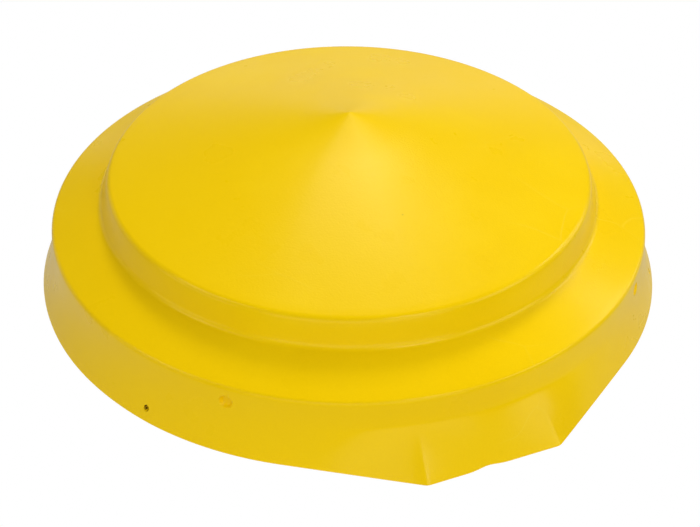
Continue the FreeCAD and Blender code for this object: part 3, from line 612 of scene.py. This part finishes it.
def patches(net, inputs):
    """Blotches with soft edges; a larger Cover makes them meet."""
    noise = net.noise(inputs["Place"], inputs["Scale"], 5.0, 0.6)
    edge = net.math("SUBTRACT", 0.75, net.math("MULTIPLY", inputs["Cover"], 0.5))
    return net.spread(noise, edge, net.math("ADD", edge, 0.16))


def scratches(net, inputs):
    """Fine crooked lines: the borders of large, warped cells, kept only in patches."""
    place, scale = inputs["Place"], inputs["Scale"]
    warp = net.add("TexNoise", {"Vector": place, "Scale": scale, "Detail": 2.0}, "Color")
    sway = (0.03, 0.03, 0.03)
    bent = net.add("VectorMath", {0: warp, 1: sway, 2: place}, operation="MULTIPLY_ADD")
    borders = net.cells(bent, scale, "Distance", "DISTANCE_TO_EDGE")
    line = net.spread(borders, 0.0, inputs["Width"], 1.0, 0.0)
    wide = net.math("MULTIPLY", scale, 0.7)
    kept = net.spread(net.noise(place, wide, 2.0), 0.52, 0.62)
    return net.math("MULTIPLY", line, kept)


def specks(net, inputs):
    """Scattered dots: the middles of cells, kept where the cell's own random value is high."""
    spot = net.spread(net.cells(inputs["Place"], inputs["Scale"]), 0.0, inputs["Size"], 1.0, 0.0)
    colour = net.cells(inputs["Place"], inputs["Scale"], "Color")
    chance = net.add("SeparateXYZ", {"Vector": colour})
    kept = net.math("GREATER_THAN", chance, net.math("SUBTRACT", 1.0, inputs["Share"]))
    return net.math("MULTIPLY", spot, kept)


def dust(net, inputs):
    """Dust that settles on what faces up, thicker in blotches."""
    up = net.add("SeparateXYZ", {"Vector": net.add("NewGeometry", {}, "Normal")}, "Z")
    facing = net.spread(up, 0.25, 0.95)
    blotches = net.spread(net.noise(inputs["Place"], inputs["Scale"], 6.0, 0.65), 0.35, 0.75)
    return net.math("MULTIPLY", net.math("MULTIPLY", facing, blotches), inputs["Amount"])


def turned_lines(net, inputs):
    """Fine tool lines round an upright axis: noise squeezed along the height."""
    squeezed = net.stretched(inputs["Place"], (1.0, 1.0, 60.0))
    return net.noise(squeezed, inputs["Scale"], 3.0, 0.7)


EFFECTS = {
    "orange_peel": effect("orange_peel", {"Scale": 400.0, "Fineness": 4.0}, "Height", orange_peel),
    "patches": effect("patches", {"Scale": 10.0, "Cover": 0.5}, "Mask", patches),
    "scratches": effect("scratches", {"Scale": 20.0, "Width": 0.004}, "Mask", scratches),
    "specks": effect("specks", {"Scale": 60.0, "Size": 0.06, "Share": 0.1}, "Mask", specks),
    "dust": effect("dust", {"Scale": 12.0, "Amount": 0.2}, "Mask", dust),
    "turned_lines": effect("turned_lines", {"Scale": 30.0}, "Height", turned_lines),
}


# ---------------------------------------------------------------- finishes

GREY_DUST = (0.20, 0.18, 0.15, 1)
FILM_CELL = 3.4 * MM


class Finish(Net):
    """A material round one Principled shader, with the shared effects ready to place in it."""

    def __init__(self, name, roughness, metallic=0.0):
        self.material = bpy.data.materials.new(name)
        self.material.use_nodes = True
        super().__init__(self.material.node_tree)
        self.shader = self.tree.nodes["Principled BSDF"]
        self.set(Roughness=roughness, Metallic=metallic)
        self.place = self.add("TexCoord", {}, "Object")

    def set(self, **values):
        """Feeds the shader's sockets; an underscore in a name stands for a space."""
        for name, value in values.items():
            self.feed(self.shader.inputs[name.replace("_", " ")], value)

    def effect(self, name, place=None, **sizes):
        node = self.tree.nodes.new("ShaderNodeGroup")
        node.node_tree = EFFECTS[name]
        self.tree.links.new(place or self.place, node.inputs["Place"])
        for label, value in sizes.items():
            self.feed(node.inputs[label], value)
        return node.outputs[0]

    def relief(self, height, distance, strength=1.0, under=None):
        """A bump normal, laid over another one if it is given."""
        values = {"Height": height, "Distance": distance, "Strength": strength}
        if under is not None:
            values["Normal"] = under
        return self.add("Bump", values)


def hood_yellow():
    """Satin yellow plastic with a fine moulded grain, faint rub marks and a few dark specks."""
    finish = Finish("hood_yellow", 0.30)
    finish.set(Specular_IOR_Level=0.19, Specular_Tint=(1.0, 0.95, 0.08, 1))
    finish.set(Coat_Weight=0.20, Coat_Roughness=0.20)
    cloudy = finish.effect("patches", Scale=7.0, Cover=0.5)
    tone = finish.blend(cloudy, (0.915, 0.600, 0.0006, 1), (0.94, 0.628, 0.0010, 1))
    grain = finish.effect("orange_peel", Scale=900.0, Fineness=2.3)
    tone = finish.blend(finish.spread(grain, 0.45, 0.85, 0.0, 0.10), tone, (0.78, 0.47, 0.0006, 1))
    rubs = finish.effect("scratches", Scale=13.0, Width=0.006)
    tone = finish.blend(finish.math("MULTIPLY", rubs, 0.25), tone, (0.97, 0.72, 0.05, 1))
    dark = finish.effect("specks", Scale=38.0, Size=0.035, Share=0.07)
    tone = finish.blend(finish.math("MULTIPLY", dark, 0.55), tone, (0.30, 0.17, 0.0004, 1))
    finish.set(Base_Color=tone)
    smudges = finish.spread(finish.noise(finish.place, 30.0, 5.0), 0.3, 0.7, 0.26, 0.34)
    finish.set(Roughness=finish.math("ADD", smudges, finish.math("MULTIPLY", rubs, 0.15)))
    skin = finish.relief(grain, 0.00016, 0.55)
    finish.set(Normal=finish.relief(rubs, 0.00005, 0.4, skin))
    return finish.material


def painted_hole_shade():
    """Painted shade inside the hood's small holes: dark brown, lighter in soft patches."""
    finish = Finish("painted_hole_shade", 0.8)
    # painted shade: a dark brown colour stands in for the shade inside the holes, mottled lighter
    # in patches
    shade_patches = finish.effect("patches", Scale=300.0, Cover=0.5)
    finish.set(Base_Color=finish.blend(shade_patches, (0.060, 0.030, 0.004, 1), (0.11, 0.06, 0.008, 1)))
    finish.set(Specular_IOR_Level=0.1)
    return finish.material


def black_nylon():
    """Black machined nylon, greyed where it has rubbed."""
    finish = Finish("black_nylon", 0.5)
    worn = finish.effect("patches", Scale=22.0, Cover=0.45)
    tone = finish.blend(worn, (0.020, 0.020, 0.022, 1), (0.045, 0.045, 0.048, 1))
    scored = finish.effect("scratches", Scale=40.0, Width=0.01)
    tone = finish.blend(finish.math("MULTIPLY", scored, 0.4), tone, (0.12, 0.12, 0.12, 1))
    finish.set(Base_Color=finish.blend(finish.effect("dust", Amount=0.25), tone, GREY_DUST))
    finish.set(Roughness=finish.spread(worn, 0.0, 1.0, 0.38, 0.58))
    lines = finish.relief(finish.effect("turned_lines", Scale=24.0), 0.00006, 0.5)
    peel = finish.effect("orange_peel", Scale=1200.0)
    finish.set(Normal=finish.relief(peel, 0.00003, 0.4, lines))
    return finish.material


def post_yellow():
    """Yellow powder coat, rubbed dull in upright streaks where the guides run."""
    finish = Finish("post_yellow", 0.35)
    finish.set(Coat_Weight=0.15, Coat_Roughness=0.2)
    cloudy = finish.effect("patches", Scale=6.0, Cover=0.5)
    tone = finish.blend(cloudy, (0.80, 0.49, 0.004, 1), (0.84, 0.53, 0.006, 1))
    upright = finish.stretched(finish.place, (60.0, 60.0, 1.2))
    streaks = finish.spread(finish.noise(upright, 3.0, 4.0, 0.6), 0.55, 0.75)
    tone = finish.blend(finish.math("MULTIPLY", streaks, 0.22), tone, (0.50, 0.33, 0.03, 1))
    tone = finish.blend(finish.effect("dust", Amount=0.10), tone, (0.45, 0.38, 0.25, 1))
    finish.set(Base_Color=tone)
    finish.set(Roughness=finish.spread(streaks, 0.0, 1.0, 0.30, 0.48))
    finish.set(Normal=finish.relief(finish.effect("orange_peel", Scale=520.0), 0.00018, 0.6))
    return finish.material


def reflective_film():
    """Silver film with a honeycomb of sealed cells: three sets of waves at 60 degrees, unrolled
    round the post, whose sum is lowest along the cell walls."""
    finish = Finish("reflective_film", 0.28)
    finish.set(Coat_Weight=0.6, Coat_Roughness=0.08)
    parts = finish.add("SeparateXYZ", {"Vector": finish.place}).node.outputs
    angle = finish.math("ARCTAN2", parts["Y"], parts["X"])
    around = finish.math("MULTIPLY", angle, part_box("post_tube")[1].x)
    pitch = 2 * math.pi / FILM_CELL
    total = 0.0
    for turn in (0, 60, 120):
        across = finish.math("MULTIPLY", around, pitch * math.cos(math.radians(turn)))
        upward = finish.math("MULTIPLY", parts["Z"], pitch * math.sin(math.radians(turn)))
        total = finish.math("ADD", finish.math("COSINE", finish.math("ADD", across, upward)), total)
    wall = finish.spread(total, -1.3, -0.9, 1.0, 0.0)
    glint = finish.cells(finish.place, 700.0, "Color")
    tone = finish.blend(0.12, (0.72, 0.74, 0.76, 1), glint)
    tone = finish.blend(finish.math("MULTIPLY", wall, 0.75), tone, (0.90, 0.91, 0.91, 1))
    finish.set(Base_Color=tone)
    finish.set(Metallic=finish.spread(wall, 0.0, 1.0, 0.65, 0.0))
    finish.set(Normal=finish.relief(wall, 0.00008, 0.6))
    return finish.material


def galvanised_steel():
    """Hot-dip zinc: grey crystals of many shades, with dull bloom and a little dust."""
    finish = Finish("galvanised_steel", 0.45, 1.0)
    crystal = finish.cells(finish.place, 85.0, "Color")
    shade = finish.add("SeparateXYZ", {"Vector": crystal})
    fine = finish.noise(finish.place, 300.0, 4.0)
    shade = finish.math("MULTIPLY", shade, 0.7)
    shade = finish.math("ADD", shade, finish.math("MULTIPLY", fine, 0.3))
    tone = finish.blend(shade, (0.48, 0.50, 0.52, 1), (0.78, 0.80, 0.82, 1))
    bloom = finish.effect("patches", Scale=9.0, Cover=0.35)
    tone = finish.blend(finish.math("MULTIPLY", bloom, 0.55), tone, (0.58, 0.59, 0.59, 1))
    tone = finish.blend(finish.effect("dust", Amount=0.2), tone, (0.36, 0.32, 0.27, 1))
    finish.set(Base_Color=tone)
    finish.set(Metallic=finish.spread(bloom, 0.0, 1.0, 0.95, 0.35))
    finish.set(Roughness=finish.spread(shade, 0.0, 1.0, 0.36, 0.56))
    finish.set(Normal=finish.relief(finish.effect("orange_peel", Scale=160.0), 0.0003, 0.35))
    return finish.material


def stainless_steel():
    """Stainless steel with a fine brushed grain and light scoring."""
    finish = Finish("stainless_steel", 0.3, 1.0)
    brushed = finish.noise(finish.stretched(finish.place, (40.0, 900.0, 900.0)), 3.0, 3.0, 0.7)
    scored = finish.effect("scratches", Scale=60.0, Width=0.012)
    tone = finish.blend(brushed, (0.52, 0.52, 0.51, 1), (0.70, 0.70, 0.69, 1))
    tone = finish.blend(finish.math("MULTIPLY", scored, 0.4), tone, (0.80, 0.80, 0.79, 1))
    finish.set(Base_Color=tone)
    finish.set(Roughness=finish.spread(brushed, 0.3, 0.7, 0.24, 0.40))
    finish.set(Normal=finish.relief(brushed, 0.00002, 0.6))
    return finish.material


def strut_black():
    """Smooth black enamel on the gas strut, with a little dust."""
    finish = Finish("strut_black", 0.32)
    cloudy = finish.effect("patches", Scale=14.0, Cover=0.5)
    tone = finish.blend(cloudy, (0.014, 0.014, 0.015, 1), (0.026, 0.026, 0.028, 1))
    finish.set(Base_Color=finish.blend(finish.effect("dust", Amount=0.3), tone, GREY_DUST))
    finish.set(Roughness=finish.spread(finish.noise(finish.place, 45.0, 4.0), 0.3, 0.7, 0.26, 0.38))
    finish.set(Normal=finish.relief(finish.effect("orange_peel", Scale=600.0), 0.0001, 0.4))
    return finish.material


def chromed_steel():
    """Hard chrome on the strut's rod, with a thin uneven film of oil."""
    finish = Finish("chromed_steel", 0.1, 1.0)
    film = finish.effect("patches", Scale=18.0, Cover=0.5)
    finish.set(Base_Color=finish.blend(film, (0.78, 0.78, 0.80, 1), (0.70, 0.69, 0.66, 1)))
    finish.set(Roughness=finish.spread(film, 0.0, 1.0, 0.07, 0.20))
    finish.set(Normal=finish.relief(finish.effect("turned_lines", Scale=60.0), 0.00001, 0.4))
    return finish.material


def hardened_steel():
    """Ground and hardened steel, darkened in brown and blue tints by its heat treatment."""
    finish = Finish("hardened_steel", 0.35, 1.0)
    tint = finish.effect("patches", Scale=35.0, Cover=0.5)
    tone = finish.blend(tint, (0.30, 0.29, 0.28, 1), (0.22, 0.25, 0.31, 1))
    ground = finish.noise(finish.stretched(finish.place, (900.0, 50.0, 900.0)), 3.0, 3.0)
    tone = finish.blend(finish.math("MULTIPLY", ground, 0.4), tone, (0.50, 0.49, 0.47, 1))
    finish.set(Base_Color=tone)
    finish.set(Roughness=finish.spread(ground, 0.3, 0.7, 0.26, 0.42))
    finish.set(Normal=finish.relief(ground, 0.00002, 0.5))
    return finish.material


def lock_brass():
    """Brass of the lock, brown where it has tarnished and bright where the key has scored it."""
    finish = Finish("lock_brass", 0.3, 1.0)
    tarnish = finish.effect("patches", Scale=90.0, Cover=0.5)
    tone = finish.blend(tarnish, (0.74, 0.52, 0.20, 1), (0.42, 0.28, 0.10, 1))
    scored = finish.effect("scratches", Scale=120.0, Width=0.02)
    finish.set(Base_Color=finish.blend(scored, tone, (0.86, 0.66, 0.32, 1)))
    finish.set(Roughness=finish.spread(tarnish, 0.0, 1.0, 0.22, 0.45))
    finish.set(Normal=finish.relief(finish.effect("turned_lines", Scale=120.0), 0.00002, 0.5))
    return finish.material


def black_rubber():
    """Moulded rubber with a pale bloom."""
    finish = Finish("black_rubber", 0.7)
    finish.set(Specular_IOR_Level=0.3)
    bloom = finish.effect("patches", Scale=30.0, Cover=0.5)
    tone = finish.blend(bloom, (0.012, 0.012, 0.012, 1), (0.035, 0.035, 0.034, 1))
    tone = finish.blend(finish.effect("dust", Amount=0.35), tone, (0.16, 0.15, 0.13, 1))
    finish.set(Base_Color=tone)
    finish.set(Roughness=finish.spread(bloom, 0.0, 1.0, 0.62, 0.82))
    finish.set(Normal=finish.relief(finish.effect("orange_peel", Scale=1500.0), 0.00005, 0.5))
    return finish.material


FINISHES = {
    "hood_plastic": hood_yellow(),
    "black_plastic": black_nylon(),
    "post_paint": post_yellow(),
    "reflective_film": reflective_film(),
    "galvanised_steel": galvanised_steel(),
    "stainless_steel": stainless_steel(),
    "strut_paint": strut_black(),
    "chromed_steel": chromed_steel(),
    "hardened_steel": hardened_steel(),
    "lock_brass": lock_brass(),
    "black_rubber": black_rubber(),
}


def dress_cad_nodes():
    """Gives every CAD node the finish of its material slot."""
    for part in frame["record"]["subparts"]:
        mesh = frame["nodes"][part["node"]].data
        mesh.materials.clear()
        mesh.materials.append(FINISHES[part["material_slot"]])


# ---------------------------------------------------------------- floor


def floor_white():
    """White floor: plain white to the camera, a softer glow on the bollard, and a softer one still
    where the bollard's gloss mirrors it."""
    material = bpy.data.materials.new("floor_white")
    material.use_nodes = True
    net = Net(material.node_tree)
    net.tree.nodes.remove(net.tree.nodes["Principled BSDF"])
    seen = net.add("LightPath", {}, "Is Camera Ray")
    mirrored = net.add("LightPath", {}, "Is Glossy Ray")
    cast = net.spread(mirrored, 0.0, 1.0, FLOOR_GLOW, FLOOR_SHEEN)
    strength = net.spread(seen, 0.0, 1.0, cast, 1.0)
    glow = net.add("Emission", {"Color": (1, 1, 1, 1), "Strength": strength})
    net.feed(net.tree.nodes["Material Output"].inputs["Surface"], glow)
    return material


def make_floor():
    """A flat ring of floor at paving level, from just outside the sleeve outwards. It lies a hair
    over the lock box, so that the box's rim doesn't show through."""
    around = np.linspace(0, 2 * math.pi, FLOOR_SIDES, endpoint=False)
    ring = np.stack([np.cos(around), np.sin(around), np.full(FLOOR_SIDES, FLOOR_LEVEL)], axis=-1)
    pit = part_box("ground_sleeve")[1].y + PIT_GAP
    grid = np.stack([ring * (FLOOR_RADIUS, FLOOR_RADIUS, 1), ring * (pit, pit, 1)])
    points, faces = grid_faces(grid, closed=True, ring=False)
    mesh = bpy.data.meshes.new("floor")
    mesh.from_pydata(points.tolist(), [], faces[0].tolist())
    mesh.materials.append(floor_white())
    floor = bpy.data.objects.new("floor", mesh)
    bpy.context.scene.collection.objects.link(floor)


make_camera()
make_lights()
make_floor()
dress_cad_nodes()
# the second finish is painted dark shade for the faces inside the hood's two holes
make_hood(FINISHES["hood_plastic"], painted_hole_shade())
make_head_screws(FINISHES["stainless_steel"])
make_retainer_screws(FINISHES["stainless_steel"])
make_wiper_seal(FINISHES["black_rubber"])
make_welds(FINISHES["galvanised_steel"])
